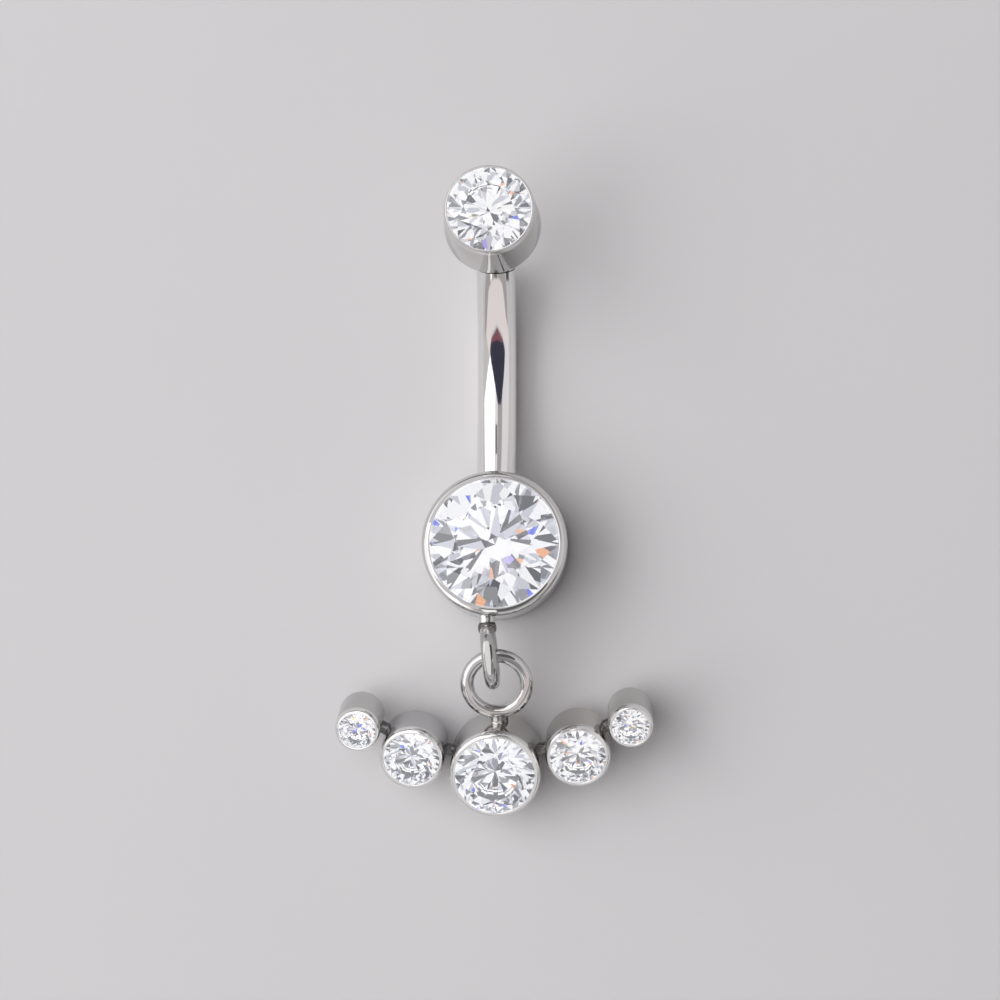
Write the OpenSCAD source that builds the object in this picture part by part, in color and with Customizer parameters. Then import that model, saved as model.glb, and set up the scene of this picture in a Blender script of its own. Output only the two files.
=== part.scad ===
// A navel ring lying on its back on a flat surface: a curved bar with a stone-set cup at each end,
// and a drop of five stone-set cups linked to the lower cup. +Z is up and the surface is z = 0.

/* [Bar] */
// Diameter of the bar, 14 gauge
bar_d = 1.6; // [1.3:0.1:1.9]
// Length of the bar along its middle, from the lower cup's wall to its end
bar_length = 8.6; // [8:0.1:12]
// Radius of the bend, to the middle of the bar
bend_r = 11; // [9:0.5:13]
// Distance from the middle of the lower cup to the deepest point of the bend
bend_y = 5.5; // [5:0.1:6.5]
// Height of the bar's underside at its deepest point above the back of the lower cup
bar_lift = 0.4; // [0.3:0.02:0.8]

/* [Lower cup] */
// Outside diameter of the lower cup
lower_d = 5.85; // [5:0.05:7]
// Depth of the lower cup, from its back to its lip
lower_depth = 3; // [2.8:0.1:3.6]
// Width of the lip round the stone, seen from the front
lower_lip = 0.345; // [0.3:0.005:0.6]

/* [Top cup] */
// Outside diameter of the top cup at its back
top_d = 3.9; // [3.8:0.05:4.6]
// How much narrower the cup is at its lip than at its back
top_taper = 0.3; // [0:0.05:0.3]
// Depth of the top cup
top_depth = 2.9; // [2.4:0.1:3.2]
// Width of the lip round the stone
top_lip = 0.15; // [0.14:0.005:0.4]
// Space between the corner of the bar's end and the back of the cup, which sets the stub's length
cup_clear = 0.05; // [0.03:0.01:0.3]
// Distance from the middle of the cup's back to where the stub meets it
stub_offset = 0.33; // [0:0.01:0.5]
// How far the cup sits to the left of the bar
top_side = 0.1; // [0:0.02:0.2]
// Diameter of the hidden pin that enters the bar
pin_d = 0.8; // [0.6:0.05:0.9]
// Length of the hidden pin
pin_length = 1.5; // [1:0.1:2]

/* [Drop] */
// Outside diameter of the centre cup
centre_d = 3.7; // [3.2:0.05:4.4]
// Width of the lip of the centre cup
centre_lip = 0.24; // [0.14:0.005:0.4]
// Depth of the centre cup
centre_depth = 2.4; // [2:0.05:2.8]
// Outside diameter of the two middle cups
middle_d = 2.64; // [2.2:0.02:3.2]
// Width of the lip of a middle cup
middle_lip = 0.205; // [0.14:0.005:0.4]
// Outside diameter of the two small cups
small_d = 1.83; // [1.5:0.01:2.2]
// Width of the lip of a small cup
small_lip = 0.175; // [0.14:0.005:0.3]
// Depth of the middle and small cups
side_depth = 2.15; // [1.9:0.05:2.6]
// Radius of the upward curve that the five cups follow
drop_curve_r = 8.8; // [7:0.1:12]
// Space between the walls of neighbouring cups
drop_gap = 0.24; // [0.1:0.01:0.3]
// How far the drop is turned anticlockwise, in degrees
drop_turn = 1.2; // [0:0.1:3]

/* [Rings and solder] */
// Outside diameter of the upper ring, which is seen edge-on
upper_ring_d = 2.65; // [2.3:0.05:3.4]
// Thickness of the upper ring's wire
upper_wire = 0.58; // [0.4:0.02:0.66]
// Height of the upper ring's middle above the back of the lower cup
upper_ring_up = 2.4; // [1.7:0.05:2.5]
// How far the upper ring's solder bead is left of the middle of the lower cup
upper_ring_side = 0.3; // [0:0.05:0.6]
// How far the upper ring is swung to the right, in degrees
upper_ring_turn = 6; // [0:1:12]
// Space between the lower cup and the upper ring, filled by the solder bead
bead_gap = 0.26; // [0.1:0.02:0.4]
// Outside diameter of the lower ring, which is seen face-on
lower_ring_d = 2.95; // [2.5:0.05:3.6]
// Thickness of the lower ring's wire
lower_wire = 0.55; // [0.4:0.01:0.62]
// Height of the lower ring's middle above the back of the drop
lower_ring_up = 1.05; // [0.9:0.05:1.6]
// How far the lower ring and its neck are right of the middle of the centre cup
lower_ring_side = 0.14; // [0:0.02:0.3]
// Space between the centre cup and the lower ring, filled by the solder neck
neck_gap = 0.12; // [0.1:0.02:0.4]
// Diameter of the neck and of the bead at their waists
solder_d = 0.52; // [0.4:0.02:0.6]
// Diameter of the solder joints between neighbouring cups
joint_d = 0.5; // [0.3:0.02:0.6]
// Height of those joints above the back of the drop
joint_up = 0.45; // [0.4:0.05:1.2]
// Free space between the two linked rings where one rests on the other
link_gap = 0.03; // [0.02:0.01:0.1]

/* [Stones and their seats] */
// Width of the table as a share of the stone's diameter
table_share = 0.57; // [0.5:0.01:0.65]
// Height of the crown as a share of the diameter
crown_share = 0.15; // [0.12:0.01:0.17]
// Height of the girdle as a share of the diameter
girdle_share = 0.03; // [0.02:0.005:0.04]
// Depth of the pavilion as a share of the diameter
pavilion_share = 0.43; // [0.4:0.005:0.44]
// How far the lip reaches over the stone's girdle
lip_cover = 0.06; // [0.04:0.01:0.08]
// Thickness of the lip at its inner edge
lip_t = 0.08; // [0.05:0.01:0.12]
// Height of the rounded lip above the straight wall
lip_h = 0.35; // [0.25:0.05:0.5]
// Free space between a stone and its seat
seat_gap = 0.02; // [0.01:0.01:0.04]
// Size of the chamfer round the back of each cup
edge_c = 0.12; // [0.05:0.01:0.2]

/* [Hidden] */
$fn = 96;

// Points in each quarter of a rounded lip or a solder fillet
arc_steps = 8;
// How deep the solder and the bar reach into the metal that they join
root = 0.15;
// Free space at the end of the bar and round the hidden pin
seam_gap = 0.02;
// Shares that place the star facets and the lower halves of a brilliant cut
star_share = 0.5;
lower_half_share = 0.77;
// How much wider a solder joint is at its ends than at its waist
solder_flare = 0.1;

lower_r = lower_d / 2;
top_r = top_d / 2;
bar_r = bar_d / 2;

// The openings inside the lips, where the stones show
lower_open = lower_d - 2 * lower_lip;
top_open = top_d - top_taper - 2 * top_lip;
centre_open = centre_d - 2 * centre_lip;
middle_open = middle_d - 2 * middle_lip;
small_open = small_d - 2 * small_lip;

// The bar's bend, seen from the side in the lower cup's own frame, whose back is z = 0
bend_mid = [bend_y, bar_lift + bar_r + bend_r];
wall_angle = asin((bend_y - lower_r) / bend_r);
root_angle = asin((bend_y - lower_r + root + bar_r) / bend_r);
seam_angle = bar_length / bend_r * 180 / PI - wall_angle;
seam = bend_mid + bend_r * [sin(seam_angle), -cos(seam_angle)];
stub_length = (cup_clear + bar_r * cos(seam_angle)) / sin(seam_angle);
stub_end = seam + stub_length * [cos(seam_angle), sin(seam_angle)];
top_mid = stub_end + [stub_offset, 0];

// The bar and cups tip until they rest on the lower cup's back edge and on the bend
rest_edge = lower_r - edge_c;
bend_reach = norm(bend_mid - [rest_edge, 0]);
pitch = acos((bend_r + bar_r) / bend_reach) - atan((bend_y - rest_edge) / bend_mid[1]);

// The hole of the upper ring, first in the lower cup's frame and then as it lies
upper_r = upper_ring_d / 2;
hole_mid = [
    upper_r * sin(upper_ring_turn) - upper_ring_side,
    -lower_r - bead_gap - upper_r * cos(upper_ring_turn),
    upper_ring_up
];
hole_y = hole_mid[1] * cos(pitch) + hole_mid[2] * sin(pitch);
hole_z = (rest_edge - hole_mid[1]) * sin(pitch) + hole_mid[2] * cos(pitch);

// The drop's far edge rests on the surface and its ring rests inside the upper ring
lower_ring_r = lower_ring_d / 2;
centre_r = centre_d / 2;
lower_ring_y = centre_r + neck_gap + lower_ring_r;
linked_y = lower_ring_y + lower_ring_r - lower_wire / 2;
linked_z = hole_z - (upper_r - upper_wire - lower_wire / 2 - link_gap);
drop_edge = centre_r - edge_c;
drop_tilt = asin(linked_z / norm([drop_edge + linked_y, lower_ring_up]))
    - atan(lower_ring_up / (drop_edge + linked_y));
drop_y = hole_y - linked_y * cos(drop_tilt) + lower_ring_up * sin(drop_tilt);

// The five cups step along the curve, each clear of its neighbour by the same gap
function chord_angle(first_d, second_d) =
    2 * asin(((first_d + second_d) / 2 + drop_gap) / (2 * drop_curve_r));
function on_curve(angle) = drop_curve_r * [sin(angle), 1 - cos(angle)];
middle_angle = chord_angle(centre_d, middle_d);
small_angle = middle_angle + chord_angle(middle_d, small_d);

// The whole thing is centred over the origin
far_y = (top_mid[0] + (top_d - top_taper) / 2) * cos(pitch)
    + (top_mid[1] + top_depth - lip_h) * sin(pitch);
near_y = drop_y - centre_r * cos(drop_tilt) - (centre_depth - lip_h) * sin(drop_tilt);
middle_y = (far_y + near_y) / 2;

module as_the_bar_lies() {
    translate([0, -middle_y, rest_edge * sin(pitch)])
        rotate([-pitch, 0, 0])
            children();
}

module as_the_drop_lies() {
    translate([0, drop_y - middle_y, drop_edge * sin(drop_tilt)])
        rotate([drop_tilt, 0, 0])
            rotate([0, 0, drop_turn])
                children();
}

// Sizes of a brilliant cut of diameter d, measured from the top of its girdle
function star_r(d) = d / 2 * (table_share * cos(22.5) * (1 - star_share) + star_share);
function crown_at(d, r) = crown_share * d * (d / 2 - r) / (d / 2 * (1 - table_share));
function star_z(d) = crown_at(d, star_r(d) * cos(22.5));
function half_r(d) = d / 2 * (1 - lower_half_share);
function half_z(d) = -d * (girdle_share + pavilion_share * (1 - (1 - lower_half_share) * cos(22.5)));
function culet_z(d) = -d * (girdle_share + pavilion_share);
function stone_d(open_d) = open_d + 2 * lip_cover;

// Height of the girdle's top above the back of a cup whose lip has the opening open_d
function girdle_up(depth, open_d) = depth - lip_t - seat_gap
    - lip_cover * star_z(stone_d(open_d)) / (stone_d(open_d) / 2 - star_r(stone_d(open_d)));

function ring_points(count, start, r, z) =
    [for (i = [0:count - 1]) let (a = start + i * 360 / count) [r * cos(a), r * sin(a), z]];

// A round brilliant cut: table, stars, kites, upper halves, girdle, lower halves and mains
module brilliant(d) {
    points = concat(
        ring_points(8, 0, table_share * d / 2, crown_share * d),
        ring_points(8, 22.5, star_r(d), star_z(d)),
        ring_points(16, 0, d / 2, 0),
        ring_points(16, 0, d / 2, -girdle_share * d),
        ring_points(8, 22.5, half_r(d), half_z(d)),
        [[0, 0, culet_z(d)]]
    );
    table_at = 0;
    star_at = 8;
    upper_at = 16;
    under_at = 32;
    half_at = 48;
    culet_at = 56;
    faces = concat(
        [[for (i = [7:-1:0]) table_at + i]],
        [for (i = [0:7]) [table_at + i, table_at + (i + 1) % 8, star_at + i]],
        [for (i = [0:7]) [table_at + i, star_at + i, upper_at + 2 * i, star_at + (i + 7) % 8]],
        [for (i = [0:7]) [star_at + i, upper_at + 2 * i + 1, upper_at + 2 * i]],
        [for (i = [0:7]) [star_at + i, upper_at + (2 * i + 2) % 16, upper_at + 2 * i + 1]],
        [for (j = [0:15]) [upper_at + j, upper_at + (j + 1) % 16, under_at + (j + 1) % 16, under_at + j]],
        [for (i = [0:7]) [under_at + 2 * i, under_at + 2 * i + 1, half_at + i]],
        [for (i = [0:7]) [under_at + 2 * i + 1, under_at + (2 * i + 2) % 16, half_at + i]],
        [for (i = [0:7]) [under_at + 2 * i, half_at + i, culet_at, half_at + (i + 7) % 8]]
    );
    polyhedron(points, faces);
}

// The stone of a cup, seated under its lip
module seated_stone(depth, open_d) {
    color("white")
        translate([0, 0, girdle_up(depth, open_d)])
            brilliant(stone_d(open_d));
}

// The outside of a cup, with a chamfered back and a rounded lip
module cup_body(d, depth, open_d, taper = 0) {
    rim_r = (d - taper) / 2;
    lip_w = rim_r - open_d / 2 - lip_t / 2;
    rotate_extrude()
        polygon(concat(
            [[0, 0], [d / 2 - edge_c, 0], [d / 2, edge_c]],
            [for (i = [0:arc_steps]) let (a = 90 * i / arc_steps)
                [rim_r - lip_w * (1 - cos(a)), depth - lip_h * (1 - sin(a))]],
            [[0, depth]]
        ));
}

// The space in a cup: the seat under the stone, the groove for its girdle and the opening in the lip
module cup_pocket(depth, open_d) {
    d = stone_d(open_d);
    down = 1.5 * seat_gap;
    translate([0, 0, girdle_up(depth, open_d)])
        rotate_extrude()
            polygon([
                [0, culet_z(d) - down],
                [half_r(d), half_z(d) - down],
                [d / 2 + seat_gap, -girdle_share * d - seat_gap],
                [d / 2 + seat_gap, 0],
                [open_d / 2, depth - lip_t - girdle_up(depth, open_d)],
                [open_d / 2, depth],
                [0, depth]
            ]);
}

// A solder joint along +Z with a narrow waist, which widens by its flare at each end
module solder_joint(length, waist_d, start_flare, end_flare) {
    half = length / 2;
    rotate_extrude()
        polygon(concat(
            [[0, 0]],
            [for (i = [0:arc_steps]) let (a = 90 * i / arc_steps)
                [waist_d / 2 + start_flare * (1 - sin(a)), half * (1 - cos(a))]],
            [for (i = [1:arc_steps]) let (a = 90 * i / arc_steps)
                [waist_d / 2 + end_flare * (1 - cos(a)), half * (1 + sin(a))]],
            [[0, length]]
        ));
}

module wire_ring(d, wire) {
    rotate_extrude()
        translate([(d - wire) / 2, 0])
            circle(d = wire);
}

// A cylinder along the bar's end, from the seam outwards, or into the bar where the length is negative
module along_bar_end(d, from, to) {
    translate([0, seam[0], seam[1]])
        rotate([seam_angle - 90, 0, 0])
            translate([0, 0, from])
                cylinder(d = d, h = to - from);
}

module bar() {
    translate([0, bend_mid[0], bend_mid[1]])
        rotate([90, 0, 90])
            rotate([0, 0, -90 - root_angle])
                rotate_extrude(angle = root_angle + seam_angle)
                    translate([bend_r, 0])
                        circle(d = bar_d);
}

// The upper ring hangs from its bead on the lower cup's wall
module upper_ring() {
    translate([-upper_ring_side, -lower_r, upper_ring_up])
        rotate([90, 0, 0])
            translate([0, 0, -root])
                solder_joint(root + bead_gap + upper_wire / 2, solder_d, solder_flare, 0);
    translate(hole_mid)
        rotate([0, 0, upper_ring_turn])
            rotate([0, 90, 0])
                wire_ring(upper_ring_d, upper_wire);
}

module curved_bar() {
    color("silver")
        as_the_bar_lies()
            difference() {
                union() {
                    cup_body(lower_d, lower_depth, lower_open);
                    bar();
                    upper_ring();
                }
                cup_pocket(lower_depth, lower_open);
                along_bar_end(pin_d + 2 * seam_gap, -pin_length - seam_gap, bar_r);
            }
}

module lower_stone() {
    as_the_bar_lies()
        seated_stone(lower_depth, lower_open);
}

// The top cup's place in the lower cup's frame
module at_top_cup() {
    translate([-top_side, top_mid[0], top_mid[1]])
        children();
}

module top_setting() {
    color("silver")
        as_the_bar_lies() {
            difference() {
                union() {
                    at_top_cup()
                        cup_body(top_d, top_depth, top_open, top_taper);
                    along_bar_end(bar_d, seam_gap, stub_length + bar_r / tan(seam_angle) + root);
                }
                at_top_cup()
                    cup_pocket(top_depth, top_open);
            }
            along_bar_end(pin_d, -pin_length, stub_length);
        }
}

module top_stone() {
    as_the_bar_lies()
        at_top_cup()
            seated_stone(top_depth, top_open);
}

// The place of a cup on the drop's curve
module at_drop_cup(angle) {
    spot = on_curve(angle);
    translate([spot[0], spot[1], 0])
        children();
}

// The solder between two neighbouring cups of the drop, from the middle of the first to the second
module cup_joint(first_angle, second_angle, first_d) {
    first = on_curve(first_angle);
    step = on_curve(second_angle) - first;
    translate([first[0], first[1], joint_up])
        rotate([0, 90, atan2(step[1], step[0])])
            translate([0, 0, first_d / 2 - root])
                solder_joint(drop_gap + 2 * root, joint_d, solder_flare, solder_flare);
}

module lower_ring() {
    translate([lower_ring_side, lower_ring_y, lower_ring_up])
        wire_ring(lower_ring_d, lower_wire);
    translate([lower_ring_side, centre_r - root, lower_ring_up])
        rotate([-90, 0, 0])
            solder_joint(root + neck_gap + lower_wire / 2, solder_d, 2 * solder_flare, 0);
}

module drop_settings() {
    color("silver")
        as_the_drop_lies()
            difference() {
                union() {
                    lower_ring();
                    cup_body(centre_d, centre_depth, centre_open);
                    for (side = [-1, 1]) {
                        at_drop_cup(side * middle_angle)
                            cup_body(middle_d, side_depth, middle_open);
                        at_drop_cup(side * small_angle)
                            cup_body(small_d, side_depth, small_open);
                        cup_joint(0, side * middle_angle, centre_d);
                        cup_joint(side * middle_angle, side * small_angle, middle_d);
                    }
                }
                cup_pocket(centre_depth, centre_open);
                for (side = [-1, 1]) {
                    at_drop_cup(side * middle_angle)
                        cup_pocket(side_depth, middle_open);
                    at_drop_cup(side * small_angle)
                        cup_pocket(side_depth, small_open);
                }
            }
}

module drop_stone(angle, depth, open_d) {
    as_the_drop_lies()
        at_drop_cup(angle)
            seated_stone(depth, open_d);
}

module centre_stone() {
    drop_stone(0, centre_depth, centre_open);
}

module middle_stone(side) {
    drop_stone(side * middle_angle, side_depth, middle_open);
}

module small_stone(side) {
    drop_stone(side * small_angle, side_depth, small_open);
}

curved_bar();
top_setting();
drop_settings();
top_stone();
lower_stone();
centre_stone();
middle_stone(-1);  // middle_stone_left
middle_stone(1);  // middle_stone_right
small_stone(-1);  // small_stone_left
small_stone(1);  // small_stone_right
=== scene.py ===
"""A navel ring lying on its back on a pale surface, in soft light from the upper left.

The metal is rebuilt here with fine meshes, and each stone is cut facet by facet. Sizes are in millimetres
until a mesh is finished, and then everything is in metres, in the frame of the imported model.
"""

import logging
from collections.abc import Sequence
from dataclasses import dataclass
from enum import Enum
from math import acos, asin, atan, cos, hypot, pi, radians, sin, tan, tau
from typing import ClassVar

import bmesh
import bpy
from mathutils import Matrix, Vector


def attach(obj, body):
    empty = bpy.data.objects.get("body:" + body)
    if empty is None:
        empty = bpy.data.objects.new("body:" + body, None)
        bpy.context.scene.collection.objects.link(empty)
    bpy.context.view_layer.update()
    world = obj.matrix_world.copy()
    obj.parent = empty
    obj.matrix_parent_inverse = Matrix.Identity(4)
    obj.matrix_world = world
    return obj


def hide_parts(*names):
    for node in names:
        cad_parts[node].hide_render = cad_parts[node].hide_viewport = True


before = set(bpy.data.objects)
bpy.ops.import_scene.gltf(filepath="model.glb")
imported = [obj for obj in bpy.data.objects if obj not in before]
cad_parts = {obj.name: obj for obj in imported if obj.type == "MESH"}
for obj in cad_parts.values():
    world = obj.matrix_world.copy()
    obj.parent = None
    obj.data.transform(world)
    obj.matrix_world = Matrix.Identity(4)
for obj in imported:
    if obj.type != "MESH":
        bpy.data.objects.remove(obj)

log = logging.getLogger("navel_ring")

MM = 0.001
LATHE_STEPS = 144
ROOT = "root"
BLACK = (0.0, 0.0, 0.0)
Pair = tuple[float, float]
Triple = tuple[float, float, float]
Socket = bpy.types.NodeSocket
Tree = bpy.types.NodeTree
Mesh = bpy.types.Mesh
Piece = bpy.types.Object
Colour = Triple | Socket
SkyTones = tuple[tuple[float, Triple], ...]
Values = dict[str | int, object]


class Slot(Enum):
    """The record's material slots."""

    METAL = "polished_metal"
    STONE = "clear_stone"


class Hand(Enum):
    """The two sides of the drop."""

    LEFT = -1
    RIGHT = 1


# Shared helpers


def fill(tree: Tree, node: bpy.types.Node, values: Values) -> None:
    """Gives a node's inputs their values.

    Args:
        tree: The node's tree.
        node: The node.
        values: For each input, by name or number, a socket to link, a number, or a colour of three numbers.
    """
    for key, value in values.items():
        if isinstance(value, Socket):
            tree.links.new(value, node.inputs[key])
        else:
            node.inputs[key].default_value = (*value, 1.0) if isinstance(value, tuple) else value


def add_node(tree: Tree, kind: str, values: Values | None = None, **settings: object) -> bpy.types.Node:
    """Adds a node, and sets its properties and inputs.

    Args:
        tree: The tree that gets the node.
        kind: The node's type name.
        values: What goes into its inputs.
        settings: Properties of the node and their values.

    Returns:
        The new node.
    """
    made = tree.nodes.new(kind)
    for name, value in settings.items():
        setattr(made, name, value)
    fill(tree, made, values or {})
    return made


def mix_colours(tree: Tree, factor: Socket, first: Colour, second: Colour) -> Socket:
    """Mixes two colours.

    Args:
        tree: The tree that gets the node.
        factor: How much of the second colour there is, from 0 to 1.
        first: The first colour, as a socket or as plain numbers.
        second: The second colour, the same way.

    Returns:
        The socket that holds the mixed colour.
    """
    made = add_node(tree, "ShaderNodeMix", {"Factor": factor}, data_type="RGBA")
    places = [i for i, item in enumerate(made.inputs) if item.type == "RGBA"]
    fill(tree, made, dict(zip(places, (first, second))))
    return next(item for item in made.outputs if item.type == "RGBA")


def as_mesh(name: str, build: bmesh.types.BMesh) -> Mesh:
    """Makes a mesh of what was built.

    Args:
        name: The mesh's name.
        build: What was built, which is freed.

    Returns:
        The mesh.
    """
    mesh = bpy.data.meshes.new(name)
    build.to_mesh(mesh)
    build.free()
    return mesh


def put(name: str, data: bpy.types.ID) -> Piece:
    """Adds an object to the scene.

    Args:
        name: The object's name.
        data: Its mesh, light or camera.

    Returns:
        The object.
    """
    made = bpy.data.objects.new(name, data)
    bpy.context.collection.objects.link(made)
    return made


@dataclass(frozen=True)
class Finish:
    """A finish, whose material is made on its first use."""

    name: str
    sampling: ClassVar[str] = "AUTO"

    def material(self) -> bpy.types.Material:
        """Returns the finish as a material."""
        if self.name in bpy.data.materials:
            return bpy.data.materials[self.name]
        made = bpy.data.materials.new(self.name)
        made.use_nodes = True
        made.cycles.emission_sampling = self.sampling
        fill(made.node_tree, made.node_tree.nodes["Principled BSDF"], self.look(made.node_tree))
        return made

    def look(self, tree: Tree) -> Values:
        """Returns what goes into the surface's inputs; each kind of finish says what."""
        raise NotImplementedError


def finish_piece(
    name: str, mesh: Mesh, place: Matrix, finish: Finish, node: str, slot: Slot = Slot.METAL
) -> Piece:
    """Makes a mesh a piece of the object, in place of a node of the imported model.

    Args:
        name: The piece's name.
        mesh: Its mesh, in millimetres, in its group's own frame.
        place: Where the group's frame lies, in millimetres.
        finish: The piece's finish.
        node: The node that it stands for.
        slot: The record's slot for the piece; not used.

    Returns:
        The piece, at the origin and unscaled.
    """
    mesh.transform(Matrix.Scale(MM, 4) @ place)
    mesh.materials.clear()
    mesh.materials.append(finish.material())
    piece = put(name, mesh)
    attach(piece, ROOT)
    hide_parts(node)
    log.info("%s: %d faces, for %s", name, len(mesh.polygons), node)
    return piece


def lathe(name: str, profile: Sequence[Pair], steps: int = LATHE_STEPS, sharp: float = 32.0) -> Mesh:
    """Turns a profile about Z into a closed, smooth mesh.

    Args:
        name: The mesh's name.
        profile: (radius, height) points from the middle of the back, round the outside, to the front.
        steps: Faces in each full turn.
        sharp: Edges that turn by more than this many degrees stay crisp.

    Returns:
        The mesh, with its normals outward.
    """
    build = bmesh.new()
    rows = []
    for radius, height in profile:
        angles = [tau * i / steps for i in range(1 if radius == 0 else steps)]
        rows.append([build.verts.new((radius * cos(a), radius * sin(a), height)) for a in angles])
    for low, high in zip(rows, rows[1:]):
        for i in range(steps):
            j = (i + 1) % steps
            corners = [low[i % len(low)], low[j % len(low)], high[j % len(high)], high[i % len(high)]]
            # On the axis two corners are one
            build.faces.new(list(dict.fromkeys(corners)))
    bmesh.ops.recalc_face_normals(build, faces=build.faces)
    for face in build.faces:
        face.smooth = True
    for edge in build.edges:
        edge.smooth = edge.calc_face_angle(0.0) < radians(sharp)
    return as_mesh(name, build)


def quarter(centre: Pair, reach: Pair, start: float, steps: int) -> list[Pair]:
    """Points on a quarter of an ellipse, for the profile of a rounded edge.

    Args:
        centre: The ellipse's middle.
        reach: Its half width and half height.
        start: The angle of the first point, in degrees; the last is 90 degrees further.
        steps: How many parts the quarter has.

    Returns:
        The points in order.
    """
    angles = [radians(start + 90 * i / steps) for i in range(steps + 1)]
    return [(centre[0] + reach[0] * cos(a), centre[1] + reach[1] * sin(a)) for a in angles]


# Finishes


class PolishMarks:
    """A shader group that gives polished metal its slight waves, fine marks and changes of tone."""

    name: ClassVar[str] = "polish marks"
    sizes: ClassVar[dict[str, float]] = {
        "Wave Scale": 900.0, "Mark Scale": 9000.0, "Tone Scale": 260.0, "Least Roughness": 0.05,
        "Spread": 0.06,
    }
    mark_depth: ClassVar[float] = 0.04
    tone_range: ClassVar[Pair] = (0.35, 0.65)

    @classmethod
    def group(cls) -> Tree:
        """Builds the group on its first use.

        Returns:
            The group's tree.
        """
        if cls.name in bpy.data.node_groups:
            return bpy.data.node_groups[cls.name]
        tree = bpy.data.node_groups.new(cls.name, "ShaderNodeTree")
        for title, value in cls.sizes.items():
            made = tree.interface.new_socket(title, in_out="INPUT", socket_type="NodeSocketFloat")
            made.default_value = value
        for title in ("Roughness", "Height", "Tone"):
            tree.interface.new_socket(title, in_out="OUTPUT", socket_type="NodeSocketFloat")
        inlet = add_node(tree, "NodeGroupInput").outputs
        place = add_node(tree, "ShaderNodeTexCoord").outputs["Object"]
        noises = []
        for title, detail, distortion in (("Wave", 1.0, 0.0), ("Mark", 3.0, 1.5), ("Tone", 0.0, 0.0)):
            values = {"Scale": inlet[f"{title} Scale"], "Detail": detail, "Distortion": distortion}
            noise = add_node(tree, "ShaderNodeTexNoise", {"Vector": place, **values})
            noises.append(noise.outputs["Fac"])
        waves, marks, tones = noises
        rough = {0: marks, 1: inlet["Spread"], 2: inlet["Least Roughness"]}
        relief = {0: marks, 1: cls.mark_depth, 2: waves}
        low, high = cls.tone_range
        spread = add_node(tree, "ShaderNodeMapRange", {"Value": tones, "From Min": low, "From Max": high})
        results = {
            "Roughness": add_node(tree, "ShaderNodeMath", rough, operation="MULTIPLY_ADD").outputs[0],
            "Height": add_node(tree, "ShaderNodeMath", relief, operation="MULTIPLY_ADD").outputs[0],
            "Tone": spread.outputs[0],
        }
        add_node(tree, "NodeGroupOutput", results)
        return tree


@dataclass(frozen=True)
class PolishedMetal(Finish):
    """High-polish metal whose tone drifts between a cool and a warm grey."""

    cool: Triple = (0.74, 0.74, 0.75)
    warm: Triple = (0.79, 0.77, 0.755)
    least_roughness: float = 0.05
    spread: float = 0.06
    wave_scale: float = 900.0
    wave_depth: float = 0.00001
    relief: float = 0.5
    # The lip's paler colour is a painted highlight on the lip's crest, against walls that stand darker as if
    # in shade
    lip: Triple = (0.90, 0.89, 0.88)
    # A glow above 0 is painted light: the metal gives off light though it is no lamp
    glow: float = 0.0

    def look(self, tree: Tree) -> Values:
        """Builds the polish marks, the drifting tone, the paler lip, which is a painted highlight, and any
        painted glow.

        Args:
            tree: The material's tree.

        Returns:
            What goes into the surface's inputs.
        """
        sizes = {"Wave Scale": self.wave_scale, "Spread": self.spread}
        sizes["Least Roughness"] = self.least_roughness
        marks = add_node(tree, "ShaderNodeGroup", sizes, node_tree=PolishMarks.group()).outputs
        tone = mix_colours(tree, marks["Tone"], self.cool, self.warm)
        # The lip mask paints the lip paler than the walls, a painted highlight on its crest
        lip_painted_highlight_mask = add_node(tree, "ShaderNodeAttribute", attribute_name="lip").outputs["Fac"]
        bumps = {"Strength": self.relief, "Distance": self.wave_depth, "Height": marks["Height"]}
        return {
            "Metallic": 1.0,
            "Base Color": mix_colours(tree, lip_painted_highlight_mask, tone, self.lip),
            "Roughness": marks["Roughness"],
            "Normal": add_node(tree, "ShaderNodeBump", bumps).outputs["Normal"],
            # Painted glow, in the metal's cool tone, wherever glow is above 0
            "Emission Color": self.cool,
            "Emission Strength": self.glow,
        }


@dataclass(frozen=True)
class ClearStone(Finish):
    """A colourless brilliant-cut stone whose facets carry slight painted fire tints, and which gives off a
    faint painted glow.
    """

    name: str = "clear brilliant"
    index: float = 2.15
    # A faint painted glow that the stone gives off, though it is no lamp
    painted_inner_glow: Triple = (0.028, 0.029, 0.032)
    sampling: ClassVar[str] = "NONE"

    def look(self, tree: Tree) -> Values:
        """Takes the painted fire tint from the facets, and adds the stone's faint painted glow."""
        # The facets' slight tints are painted fire, colour that stands in for the stone's coloured glints
        painted_fire_tint = add_node(tree, "ShaderNodeAttribute", attribute_name="facet_tint")
        return {
            "Roughness": 0.0,
            "IOR": self.index,
            "Transmission Weight": 1.0,
            "Base Color": painted_fire_tint.outputs["Color"],
            # The stone's faint painted glow
            "Emission Color": self.painted_inner_glow,
            "Emission Strength": 1.0,
        }


@dataclass(frozen=True)
class PaleSurface(Finish):
    """The plain pale surface that the ring lies on."""

    name: str = "pale surface"
    light: Triple = (0.80, 0.783, 0.792)
    dark: Triple = (0.78, 0.763, 0.774)
    cloud_scale: float = 60.0

    def look(self, tree: Tree) -> Values:
        """Clouds the surface slightly.

        Args:
            tree: The material's tree.

        Returns:
            What goes into the surface's inputs.
        """
        place = add_node(tree, "ShaderNodeTexCoord").outputs["Object"]
        cloud = add_node(tree, "ShaderNodeTexNoise", {"Vector": place, "Scale": self.cloud_scale})
        shade = mix_colours(tree, cloud.outputs["Fac"], self.light, self.dark)
        return {"Roughness": 0.85, "Specular IOR Level": 0.15, "Base Color": shade}


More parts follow.
